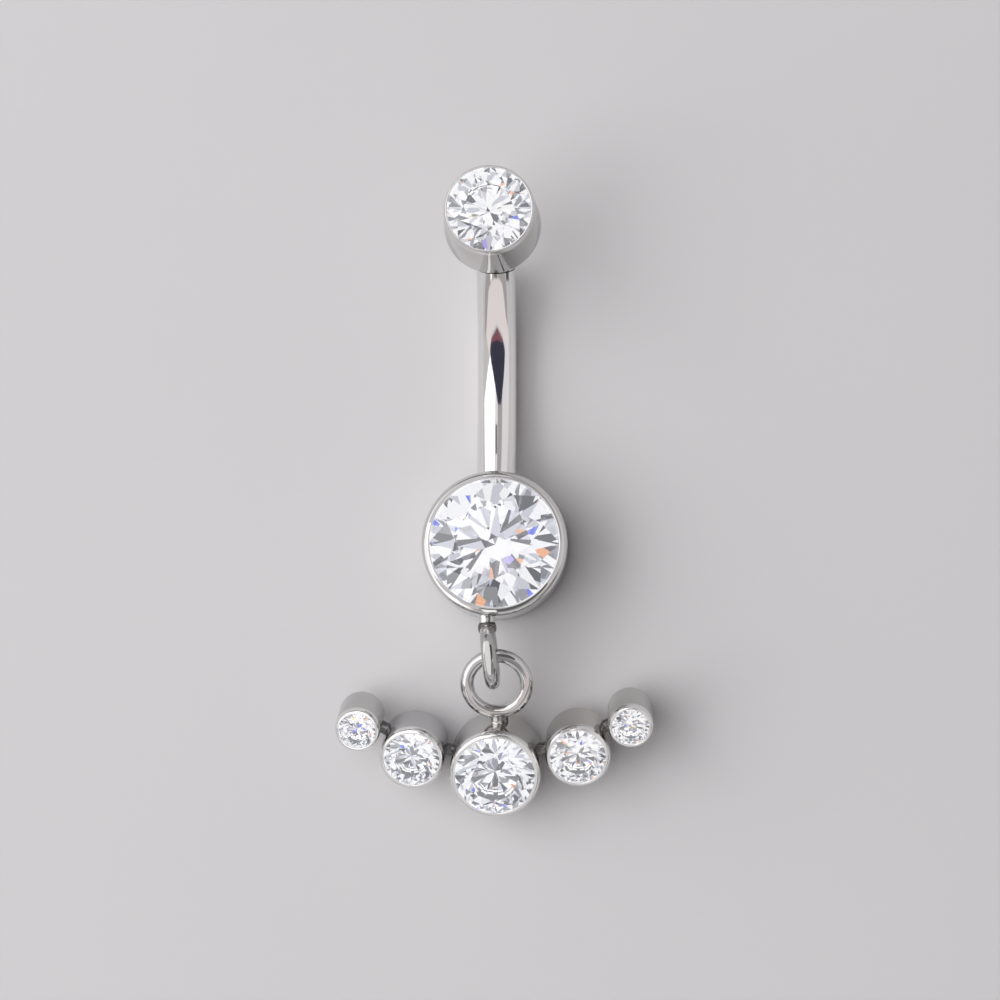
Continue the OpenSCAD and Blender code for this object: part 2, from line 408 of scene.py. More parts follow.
@dataclass(frozen=True)
class Glow(Finish):
    """A studio card or dome that gives off an even light and reflects nothing."""

    colour: Triple = BLACK
    sampling: ClassVar[str] = "NONE"

    def look(self, tree: Tree) -> Values:
        """Takes the light from shine()."""
        return {
            "Base Color": BLACK,
            "Specular IOR Level": 0.0,
            "Emission Color": self.shine(tree),
            "Emission Strength": 1.0,
        }

    def shine(self, tree: Tree) -> Colour:
        """Returns the light that it gives off."""
        return self.colour


@dataclass(frozen=True)
class StoneSky(Glow):
    """A wide sky of white, grey and a few coloured cells, which gives the stones life and fire."""

    name: str = "stone sky"
    reach: float = 0.06
    broad: SkyTones = (
        (0.00, (0.02, 0.02, 0.03)),
        (0.10, (0.22, 0.22, 0.25)),
        (0.22, (0.56, 0.57, 0.63)),
        (0.45, (0.98, 0.98, 1.00)),
    )
    broad_cells: float = 4.2
    broad_seed: float = 29.6
    fine: SkyTones = (
        (0.972, (0.06, 0.12, 0.80)),
        (0.982, (0.90, 0.38, 0.14)),
        (0.989, (0.85, 0.78, 0.35)),
        (0.993, (0.15, 0.50, 0.62)),
        (0.996, (0.42, 0.34, 0.82)),
    )
    fine_cells: float = 17.0
    fine_seed: float = 18.5

    def shine(self, tree: Tree) -> Colour:
        """Lays small coloured cells over the broad pale ones.

        Args:
            tree: The material's tree.

        Returns:
            The socket that holds the light.
        """
        broad = self.cells(tree, self.broad_cells, self.broad_seed, self.broad)
        fine = self.cells(tree, self.fine_cells, self.fine_seed, self.fine)
        return mix_colours(tree, fine["Alpha"], broad["Color"], fine["Color"])

    def cells(
        self, tree: Tree, count: float, seed: float, colours: SkyTones
    ) -> bpy.types.NodeOutputs:
        """Adds cells of random colours.

        Args:
            tree: The material's tree.
            count: How many cells there are to the sky's radius, about.
            seed: The seed of their places and colours.
            colours: The colours, and the share of the cells at which each starts; the rest are clear.

        Returns:
            The colour ramp's outputs, whose Alpha is 0 where a cell is clear.
        """
        place = add_node(tree, "ShaderNodeTexCoord").outputs["Object"]
        values = {"Vector": place, "Scale": count / self.reach, "W": seed}
        cells = add_node(tree, "ShaderNodeTexVoronoi", values, voronoi_dimensions="4D")
        parts = add_node(tree, "ShaderNodeSeparateColor", {"Color": cells.outputs["Color"]})
        ramp = add_node(tree, "ShaderNodeValToRGB", {"Fac": parts.outputs["Red"]})
        steps = ramp.color_ramp
        steps.interpolation = "CONSTANT"
        stops = [(start, (*colour, 1.0)) for start, colour in colours]
        if stops[0][0] > 0:
            stops.insert(0, (0.0, (*BLACK, 0.0)))
        while len(steps.elements) < len(stops):
            steps.elements.new(0.5)
        for element, (start, colour) in zip(steps.elements, stops):
            element.position = start
            element.color = colour
        return ramp.outputs


# Each kind of piece gets its own base tone of the same polished steel, paler on the bar and darker on the
# cups, the drop and the two rings: painted light and shade. The paler lips are painted highlights on the
# cups' crests.
BAR_METAL = PolishedMetal(
    "bar metal", (0.85, 0.845, 0.85), (0.90, 0.88, 0.87), 0.03, wave_scale=500.0, wave_depth=0.000004
)
LOWER_METAL = PolishedMetal(
    "lower cup metal", (0.62, 0.62, 0.625), (0.67, 0.655, 0.635), 0.07, lip=(0.72, 0.715, 0.71)
)
TOP_METAL = PolishedMetal(
    "top cup metal", (0.47, 0.465, 0.45), (0.52, 0.505, 0.48), 0.07, lip=(0.75, 0.74, 0.735)
)
DROP_METAL = PolishedMetal(
    "drop metal", (0.50, 0.50, 0.51), (0.56, 0.545, 0.53), 0.08, lip=(0.84, 0.835, 0.83)
)
WIRE_METAL = PolishedMetal("wire metal", (0.62, 0.62, 0.63), (0.68, 0.665, 0.65), 0.04, 0.04, 1400.0)
LINK_METAL = PolishedMetal("link metal", (0.50, 0.50, 0.51), (0.56, 0.545, 0.53), 0.05, 0.04, 1400.0)
# The seat behind each stone gives off a painted glow, seen through the stone, for light that is lost in the
# narrow gap
SEAT_METAL_PAINTED_GLOW = PolishedMetal("seat metal", (0.93, 0.93, 0.94), (0.96, 0.95, 0.94), 0.02, 0.03, glow=0.55)
# Near-black solder: between the drop's cups it is painted shade for the deep shade in the gaps; it also makes
# the lumps beside the two necks dark
DARK_SOLDER_PAINTED_SHADE = PolishedMetal(
    "solder metal", (0.13, 0.13, 0.135), (0.20, 0.19, 0.18), 0.09, 0.1, 2600.0, 0.00002
)
BEAD_METAL = PolishedMetal("bead metal", (0.66, 0.66, 0.67), (0.72, 0.70, 0.68), 0.06, 0.08, 2600.0, 0.00002)
STONE = ClearStone()


# Geometry that follows a rule


class SweepTree:
    """A Geometry Nodes tree whose sizes are named inputs, and which ends in a material on real geometry."""

    name: ClassVar[str]
    sizes: ClassVar[dict[str, float]]

    def __init__(self) -> None:
        """Makes the tree with its inputs and output, round what the subclass sweeps."""
        self.tree = bpy.data.node_groups.new(self.name, "GeometryNodeTree")
        face = self.tree.interface
        face.new_socket("Geometry", in_out="INPUT", socket_type="NodeSocketGeometry")
        for title, value in self.sizes.items():
            kind = "NodeSocketInt" if isinstance(value, int) else "NodeSocketFloat"
            face.new_socket(title, in_out="INPUT", socket_type=kind).default_value = value
        face.new_socket("Finish", in_out="INPUT", socket_type="NodeSocketMaterial")
        face.new_socket("Geometry", in_out="OUTPUT", socket_type="NodeSocketGeometry")
        self.ask = self.add("NodeGroupInput")
        shape = self.swept()
        for kind in ("GeometryNodeSetShadeSmooth", "GeometryNodeRealizeInstances"):
            shape = self.add(kind, {"Geometry": shape})["Geometry"]
        painted = self.add("GeometryNodeSetMaterial", {"Geometry": shape, "Material": self.ask["Finish"]})
        self.add("NodeGroupOutput", {"Geometry": painted["Geometry"]})

    def swept(self) -> Socket:
        """Returns the socket that holds the swept geometry; each kind of sweep says what."""
        raise NotImplementedError

    def add(self, kind: str, values: Values | None = None, **settings: object) -> bpy.types.NodeOutputs:
        """Adds a node to the tree and returns its outputs."""
        return add_node(self.tree, kind, values, **settings).outputs

    def circle(self, radius: Socket | float, steps: Socket) -> Socket:
        """Adds a circle of a given radius and number of points, and returns its curve."""
        return self.add("GeometryNodeCurvePrimitiveCircle", {"Radius": radius, "Resolution": steps})["Curve"]

    def math(self, operation: str, *values: Socket | float) -> Socket:
        """Adds a sum of sockets and numbers, and returns its result."""
        return self.add("ShaderNodeMath", dict(enumerate(values)), operation=operation)[0]

    def run(
        self, name: str, sizes: dict[str, float], place: Matrix, finish: Finish, node: str,
        start: Mesh | None = None,
    ) -> None:
        """Runs the tree once and makes the plain mesh that comes out of it a piece of the object.

        Args:
            name: The piece's name.
            sizes: Values of the named inputs.
            place: Where the group's frame lies, in millimetres.
            finish: The piece's finish.
            node: The node that it stands for.
            start: The mesh that the tree starts from, if it needs one.
        """
        bench = put("bench", start or bpy.data.meshes.new("bench"))
        worker = bench.modifiers.new("sweep", "NODES")
        worker.node_group = self.tree
        given = {**sizes, "Finish": finish.material()}
        for item in self.tree.interface.items_tree:
            if item.in_out == "INPUT" and item.name in given:
                worker[item.identifier] = given[item.name]
        graph = bpy.context.evaluated_depsgraph_get()
        mesh = bpy.data.meshes.new_from_object(bench.evaluated_get(graph))
        bench.modifiers.clear()
        bpy.data.objects.remove(bench)
        finish_piece(name, mesh, place, finish, node)


class WireRing(SweepTree):
    """A ring of round wire in the XY plane."""

    name = "wire ring"
    sizes = {"Ring Radius": 1.0, "Wire Radius": 0.25, "Ring Steps": 160, "Wire Steps": 40}

    def swept(self) -> Socket:
        """Sweeps the wire's circle round the ring's.

        Returns:
            The socket that holds the ring.
        """
        path = self.circle(self.ask["Ring Radius"], self.ask["Ring Steps"])
        round_wire = self.circle(self.ask["Wire Radius"], self.ask["Wire Steps"])
        return self.add("GeometryNodeCurveToMesh", {"Curve": path, "Profile Curve": round_wire})["Mesh"]

    def bend(self, name: str, width: float, wire: float, place: Matrix, finish: Finish, node: str) -> None:
        """Makes a ring with a given width over all and thickness of wire a piece of the object."""
        self.run(name, {"Ring Radius": (width - wire) / 2, "Wire Radius": wire / 2}, place, finish, node)


class BentRod(SweepTree):
    """A round rod bent to an even radius in the XY plane, with closed ends."""

    name = "bent rod"
    sizes = {
        "Bend Radius": 11.0, "Rod Radius": 0.8, "Start Angle": 0.0, "Sweep Angle": 1.0, "Bend Steps": 160,
        "Rod Steps": 96,
    }

    def swept(self) -> Socket:
        """Sweeps the rod's circle along an arc.

        Returns:
            The socket that holds the rod.
        """
        arc = {title: self.ask[title] for title in ("Start Angle", "Sweep Angle")}
        arc |= {"Resolution": self.ask["Bend Steps"], "Radius": self.ask["Bend Radius"]}
        path = self.add("GeometryNodeCurveArc", arc, mode="RADIUS")["Curve"]
        section = self.circle(self.ask["Rod Radius"], self.ask["Rod Steps"])
        values = {"Curve": path, "Profile Curve": section, "Fill Caps": True}
        return self.add("GeometryNodeCurveToMesh", values)["Mesh"]


@dataclass(frozen=True)
class SolderRun:
    """One run of solder between two points, with how far it widens at each end."""

    start: Triple
    end: Triple
    flares: Pair = (0.1, 0.1)


class SolderJoints(SweepTree):
    """A waisted run of solder along each edge of a mesh, wider at its ends by the point's own flare."""

    name = "solder joints"
    sizes = {"Waist Radius": 0.25, "Fillet Power": 3.0, "Run Steps": 33, "Round Steps": 40}

    def swept(self) -> Socket:
        """Sweeps a circle along each edge, scaled by a rule that widens it towards both ends.

        Returns:
            The socket that holds the solder.
        """
        runs = self.add("GeometryNodeMeshToCurve", {"Mesh": self.ask["Geometry"]})["Curve"]
        steps = {"Curve": runs, "Count": self.ask["Run Steps"]}
        points = self.add("GeometryNodeResampleCurve", steps)["Curve"]
        along = self.add("GeometryNodeSplineParameter")["Factor"]
        flare = self.add("GeometryNodeInputNamedAttribute", {"Name": "flare"}, data_type="FLOAT")["Attribute"]
        from_middle = self.math("ABSOLUTE", self.math("MULTIPLY_ADD", along, 2.0, -1.0))
        rise = self.math("POWER", from_middle, self.ask["Fillet Power"])
        values = {
            "Curve": points,
            "Profile Curve": self.circle(1.0, self.ask["Round Steps"]),
            "Scale": self.math("MULTIPLY_ADD", rise, flare, self.ask["Waist Radius"]),
            "Fill Caps": True,
        }
        return self.add("GeometryNodeCurveToMesh", values)["Mesh"]

    def lay(
        self, name: str, runs: Sequence[SolderRun], waist: float, place: Matrix, finish: Finish, node: str
    ) -> None:
        """Makes runs of solder as one piece.

        Args:
            name: The piece's name.
            runs: The runs of solder.
            waist: Their diameter at the waist.
            place: Where the group's frame lies, in millimetres.
            finish: The piece's finish.
            node: The node that it stands for.
        """
        lines = bpy.data.meshes.new("solder lines")
        points = [end for run in runs for end in (run.start, run.end)]
        lines.from_pydata(points, [(2 * i, 2 * i + 1) for i in range(len(runs))], [])
        marks = lines.attributes.new("flare", "FLOAT", "POINT").data
        for mark, flare in zip(marks, (flare for run in runs for flare in run.flares)):
            mark.value = flare
        self.run(name, {"Waist Radius": waist / 2}, place, finish, node, lines)


# Stones and cups


@dataclass(frozen=True)
class Brilliant:
    """A round brilliant cut, measured from the top of its girdle, with sizes as shares of the diameter."""

    diameter: float
    seed: int = 0
    table: float = 0.57
    crown: float = 0.15
    girdle: float = 0.03
    pavilion: float = 0.43
    star: float = 0.5
    lower_half: float = 0.77

    def star_radius(self) -> float:
        """Returns the distance of the stars' lower corners from the axis."""
        return self.diameter / 2 * (self.table * cos(pi / 8) * (1 - self.star) + self.star)

    def star_height(self) -> float:
        """Returns the height of the stars' lower corners."""
        reach = self.star_radius() * cos(pi / 8)
        return self.crown * (self.diameter - 2 * reach) / (1 - self.table)

    def half_radius(self) -> float:
        """Returns the distance of the lower halves' inner corners from the axis."""
        return self.diameter / 2 * (1 - self.lower_half)

    def half_height(self) -> float:
        """Returns the height of the lower halves' inner corners."""
        drop = self.pavilion * (1 - (1 - self.lower_half) * cos(pi / 8))
        return -self.diameter * (self.girdle + drop)

    def culet_height(self) -> float:
        """Returns the height of the point at the bottom."""
        return -self.diameter * (self.girdle + self.pavilion)

    @staticmethod
    def ring(count: int, start: float, radius: float, height: float) -> list[Triple]:
        """Returns evenly spaced points on a circle about Z, the first one at start degrees."""
        angles = [radians(start) + tau * i / count for i in range(count)]
        return [(radius * cos(a), radius * sin(a), height) for a in angles]

    def facets(self) -> tuple[list[Triple], list[tuple[int, ...]]]:
        """Works out the table, stars, kites, halves, girdle and mains.

        Returns:
            The corners, and the corners' numbers for each facet.
        """
        d = self.diameter
        points = self.ring(8, 0, self.table * d / 2, self.crown * d)
        points += self.ring(8, 22.5, self.star_radius(), self.star_height())
        points += self.ring(16, 0, d / 2, 0) + self.ring(16, 0, d / 2, -self.girdle * d)
        points += self.ring(8, 22.5, self.half_radius(), self.half_height()) + [(0, 0, self.culet_height())]
        star, upper, under, half, culet = 8, 16, 32, 48, 56
        faces: list[tuple[int, ...]] = [tuple(range(8))]
        for i in range(8):
            after, before = (i + 1) % 8, (i + 7) % 8
            here, next_one, last = 2 * i, 2 * i + 1, (2 * i + 2) % 16
            faces += [
                (i, star + i, after),
                (i, star + before, upper + here, star + i),
                (star + i, upper + here, upper + next_one),
                (star + i, upper + next_one, upper + last),
                (under + here, half + i, under + next_one),
                (under + next_one, half + i, under + last),
                (under + here, half + before, culet, half + i),
            ]
        for j in range(16):
            k = (j + 1) % 16
            faces.append((upper + j, under + j, under + k, upper + k))
        return points, faces

    def painted_fire_tint(self, index: int) -> tuple[float, float, float, float]:
        """Returns the slight tint of one facet, painted fire, chosen by the stone's seed."""
        tints = ((0.99, 0.99, 1.0), (0.965, 0.97, 0.99), (1.0, 0.99, 0.975), (0.975, 0.975, 0.995))
        return (*tints[(index * 7 + self.seed * 3 + index // 5) % len(tints)], 1.0)

    def mesh(self, name: str) -> Mesh:
        """Makes the stone with flat facets and a painted fire tint on each.

        Args:
            name: The mesh's name.

        Returns:
            The closed mesh.
        """
        points, faces = self.facets()
        build = bmesh.new()
        corners = [build.verts.new(point) for point in points]
        for face in faces:
            build.faces.new([corners[i] for i in face])
        bmesh.ops.recalc_face_normals(build, faces=build.faces)
        made = as_mesh(name, build)
        # Each facet's slight tint is painted fire, standing in for the stone's coloured glints
        colours = made.attributes.new("facet_tint", "FLOAT_COLOR", "FACE")
        for i, facet in enumerate(colours.data):
            facet.color = self.painted_fire_tint(i)
        return made


@dataclass(frozen=True)
class Cup:
    """A round bezel cup with a rolled lip and a seat that follows its stone. Its back is at height 0."""

    name: str
    stone_name: str
    width: float
    depth: float
    lip: float
    taper: float = 0.0
    seed: int = 0
    cover: float = 0.06
    lip_edge: float = 0.08
    lip_height: float = 0.35
    gap: float = 0.02
    back_edge: float = 0.12
    seat_parts: int = 5
    back_parts: int = 6
    lip_parts: int = 18
    lip_turns: Pair = (0.5, 1.1)
    lip_fade: float = 3.0

    def opening(self) -> float:
        """Returns the radius of the opening in the lip."""
        return (self.width - self.taper) / 2 - self.lip

    def stone(self) -> Brilliant:
        """Returns the stone that the cup holds."""
        return Brilliant(2 * (self.opening() + self.cover), self.seed)

    def girdle_height(self) -> float:
        """Returns the height of the top of the stone's girdle above the cup's back."""
        cut = self.stone()
        rise = self.cover * cut.star_height() / (cut.diameter / 2 - cut.star_radius())
        return self.depth - self.lip_edge - self.gap - rise

    def profile(self) -> list[Pair]:
        """Works out the cup's section.

        Returns:
            (radius, height) points from the middle of its back to the middle of its seat.
        """
        rim = (self.width - self.taper) / 2
        inner = self.opening()
        turn = self.lip_edge / 2
        lip_width = rim - inner - turn
        cut = self.stone()
        level = self.girdle_height()
        reach = cut.diameter / 2 + self.gap
        down = 1.5 * self.gap
        edge, top, lip = self.back_edge, self.depth, self.lip_height
        shape: list[Pair] = [(0.0, 0.0)]
        shape += quarter((self.width / 2 - edge, edge), (edge, edge), -90, self.back_parts)
        shape += quarter((rim - lip_width, top - lip), (lip_width, lip), 0, self.lip_parts)
        shape += [(inner + turn - turn * sin(a), top - turn + turn * cos(a)) for a in self.lip_turns]
        shape += [(inner, top - turn), (inner, top - self.lip_edge)]
        shape += [(reach, level), (reach, level - cut.girdle * cut.diameter - self.gap)]
        shape.append((cut.half_radius(), level + cut.half_height() - down))
        return [*shape, (0.0, level + cut.culet_height() - down)]

    def build(self, place: Matrix, finish: Finish, node: str, stone_node: str) -> None:
        """Makes the cup and its stone as two pieces.

        Args:
            place: Where the cup's back lies.
            finish: The cup's finish.
            node: The node that the cup stands for.
            stone_node: The node that the stone stands for.
        """
        shape = self.profile()
        mesh = lathe(self.name, shape)
        # Marks the lip, which the metal paints paler than the walls: a painted highlight on its crest
        mark = mesh.attributes.new("lip", "FLOAT", "POINT")
        low = self.depth - self.lip_height
        for vert, value in zip(mesh.vertices, mark.data):
            value.value = min(max(self.lip_fade * (vert.co.z - low) / self.lip_height, 0.0), 1.0)
        cup = finish_piece(self.name, mesh, place, finish, node)
        # The seat's painted glow, seen only through the stone, stands for light lost in the narrow gap behind
        # it
        cup.data.materials.append(SEAT_METAL_PAINTED_GLOW.material())
        for face in cup.data.polygons[(len(shape) - self.seat_parts) * LATHE_STEPS :]:
            face.material_index = 1
        seat = place @ Matrix.Translation((0, 0, self.girdle_height()))
        cut = self.stone().mesh(self.stone_name)
        finish_piece(self.stone_name, cut, seat, STONE, stone_node, Slot.STONE)


# The bar with its two cups


@dataclass(frozen=True)
class Bend:
    """The bar's bend, seen from the side in the lower cup's frame: sizes, angles and where it rests."""

    bar_width: float = 1.6
    length: float = 8.6
    radius: float = 11.0
    deepest: float = 5.5
    lift: float = 0.4
    cup_radius: float = 2.925
    root: float = 0.15
    back_edge: float = 0.12
    cup_clear: float = 0.05
    cup_offset: float = 0.33

    def middle(self) -> Pair:
        """Returns the bend's middle, as (y, z)."""
        return self.deepest, self.lift + self.bar_width / 2 + self.radius

    def root_angle(self) -> float:
        """Returns how far before the deepest point the bar starts, inside the lower cup, in radians."""
        return asin((self.deepest - self.cup_radius + self.root + self.bar_width / 2) / self.radius)

    def end_angle(self) -> float:
        """Returns how far past the deepest point the bar ends, in radians."""
        return self.length / self.radius - asin((self.deepest - self.cup_radius) / self.radius)

    def end(self) -> Pair:
        """Returns the middle of the bar's end, as (y, z)."""
        mid, a = self.middle(), self.end_angle()
        return mid[0] + self.radius * sin(a), mid[1] - self.radius * cos(a)

    def stub(self) -> float:
        """Returns the length of the stub between the bar's end and the top cup's back."""
        a = self.end_angle()
        return (self.cup_clear + self.bar_width / 2 * cos(a)) / sin(a)

    def top_cup(self) -> Pair:
        """Returns the middle of the top cup's back, as (y, z)."""
        y, z = self.end()
        a, long = self.end_angle(), self.stub()
        return y + long * cos(a) + self.cup_offset, z + long * sin(a)

    def rest_edge(self) -> float:
        """Returns the distance from the lower cup's middle to the edge that it rests on."""
        return self.cup_radius - self.back_edge

    def pitch(self) -> float:
        """Returns how far the bar and cups tip, in radians, to rest on the edge and on the bend."""
        y, z = self.middle()
        run = y - self.rest_edge()
        return acos((self.radius + self.bar_width / 2) / hypot(run, z)) - atan(run / z)

    def place(self, shift: float) -> Matrix:
        """Returns how the lower cup's frame lies, given how far the whole ring is moved along Y."""
        move = Matrix.Translation((0, -shift, self.rest_edge() * sin(self.pitch())))
        return move @ Matrix.Rotation(-self.pitch(), 4, "X")

    def at_end(self) -> Matrix:
        """Returns the frame at the bar's end, with Z along the bar and outward."""
        y, z = self.end()
        return Matrix.Translation((0, y, z)) @ Matrix.Rotation(self.end_angle() - pi / 2, 4, "X")


@dataclass
class BarGroup:
    """The curved bar, the two cups at its ends and the upper ring on its bead of solder."""

    bend: Bend
    lower: Cup = Cup("lower_cup", "lower_stone_cut", 5.85, 3.0, 0.345, seed=1)
    top: Cup = Cup("top_cup", "top_stone_cut", 3.9, 2.9, 0.15, taper=0.3, seed=2)
    top_side: float = 0.1
    ring_width: float = 2.65
    wire: float = 0.58
    ring_up: float = 2.4
    ring_side: float = 0.3
    ring_turn: float = 6.0
    bead_gap: float = 0.26
    bead_width: float = 0.64
    bead_flares: Pair = (0.04, -0.08)
    lump_width: float = 0.74
    lump_flares: Pair = (-0.12, -0.12)
    lump_reach: Pair = (0.182, 0.695)
    lump_shift: float = 0.04
    lump_rise: float = 0.05
    shift: float = 0.0

    def build(self) -> None:
        """Makes every piece of the group."""
        self.build_bar()
        self.build_stub()
        self.build_cups()
        self.build_ring()

    def place(self) -> Matrix:
        """Returns how the lower cup's frame lies."""
        return self.bend.place(self.shift)

    def build_bar(self) -> None:
        """Sweeps the bar along its bend."""
        bend = self.bend
        start, end = bend.root_angle(), bend.end_angle()
        sizes = {
            "Bend Radius": bend.radius,
            "Rod Radius": bend.bar_width / 2,
            "Start Angle": -pi / 2 - start,
            "Sweep Angle": start + end,
        }
        # The rod is swept in the XY plane, and this stands it up in the YZ plane
        upright = Matrix(((0, 0, 1, 0), (1, 0, 0, 0), (0, 1, 0, 0), (0, 0, 0, 1)))
        there = self.place() @ Matrix.Translation((0, *bend.middle())) @ upright
        BentRod().run("bar_shaft", sizes, there, BAR_METAL, "curved_bar")

    def build_stub(self) -> None:
        """Turns the short stub behind the top cup and cuts it off inside the cup's back."""
        bend = self.bend
        radius, low, edge, inside = bend.bar_width / 2, 0.02, 0.03, 0.1
        high = bend.stub() + radius / tan(bend.end_angle()) + bend.root
        shape = [(0.0, low), (radius - edge, low), (radius, low + edge), (radius, high), (0.0, high)]
        stub = lathe("top_stub", shape, steps=96)
        stub.transform(bend.at_end())
        cut = bmesh.new()
        cut.from_mesh(stub)
        back = Vector((0, 0, bend.top_cup()[1] + inside))
        parts = cut.verts[:] + cut.edges[:] + cut.faces[:]
        found = bmesh.ops.bisect_plane(cut, geom=parts, plane_co=back, plane_no=(0, 0, 1), clear_outer=True)
        rim = [part for part in found["geom_cut"] if isinstance(part, bmesh.types.BMEdge)]
        bmesh.ops.holes_fill(cut, edges=rim)
        finish_piece("top_stub", as_mesh("top_stub", cut), self.place(), BAR_METAL, "top_setting")

    def build_cups(self) -> None:
        """Makes the lower and the top cup with their stones."""
        lies = self.place()
        self.lower.build(lies, LOWER_METAL, "curved_bar", "lower_stone")
        top = lies @ Matrix.Translation((-self.top_side, *self.bend.top_cup()))
        self.top.build(top, TOP_METAL, "top_setting", "top_stone")

    def build_ring(self) -> None:
        """Makes the upper ring, the bead that joins it to the lower cup and the dark lump on the bead."""
        lies, node, solder = self.place(), "curved_bar", SolderJoints()
        turned = Matrix.Rotation(radians(self.ring_turn), 4, "Z") @ Matrix.Rotation(pi / 2, 4, "Y")
        there = lies @ Matrix.Translation(self.ring_middle()) @ turned
        WireRing().bend("upper_ring", self.ring_width, self.wire, there, LINK_METAL, node)
        wall, side, up = -self.bend.cup_radius, -self.ring_side, self.ring_up
        tip = (side, wall - self.bead_gap - self.wire / 2, up)
        bead = SolderRun((side, wall + self.bend.root, up), tip, self.bead_flares)
        solder.lay("upper_bead", [bead], self.bead_width, lies, BEAD_METAL, node)
        near, far = self.lump_reach
        start, end = (side, wall - near, up + self.lump_rise), (side + self.lump_shift, wall - far, up)
        lump = SolderRun(start, end, self.lump_flares)
        solder.lay("ring_solder", [lump], self.lump_width, lies, DARK_SOLDER_PAINTED_SHADE, node)

    def ring_middle(self) -> Triple:
        """Returns the middle of the upper ring in the lower cup's frame."""
        radius, turn = self.ring_width / 2, radians(self.ring_turn)
        out = self.bend.cup_radius + self.bead_gap + radius * cos(turn)
        return radius * sin(turn) - self.ring_side, -out, self.ring_up

    def hole(self) -> Pair:
        """Returns the middle of the upper ring as it lies, as (y, z), before the whole is centred."""
        y, z = self.ring_middle()[1:]
        sine, cosine = sin(self.bend.pitch()), cos(self.bend.pitch())
        return y * cosine + z * sine, (self.bend.rest_edge() - y) * sine + z * cosine

    def far_edge(self) -> float:
        """Returns how far the top cup's lip reaches along Y, before the whole is centred."""
        y, z = self.bend.top_cup()
        pitch = self.bend.pitch()
        out = (y + (self.top.width - self.top.taper) / 2) * cos(pitch)
        return out + (z + self.top.depth - self.top.lip_height) * sin(pitch)


# The drop


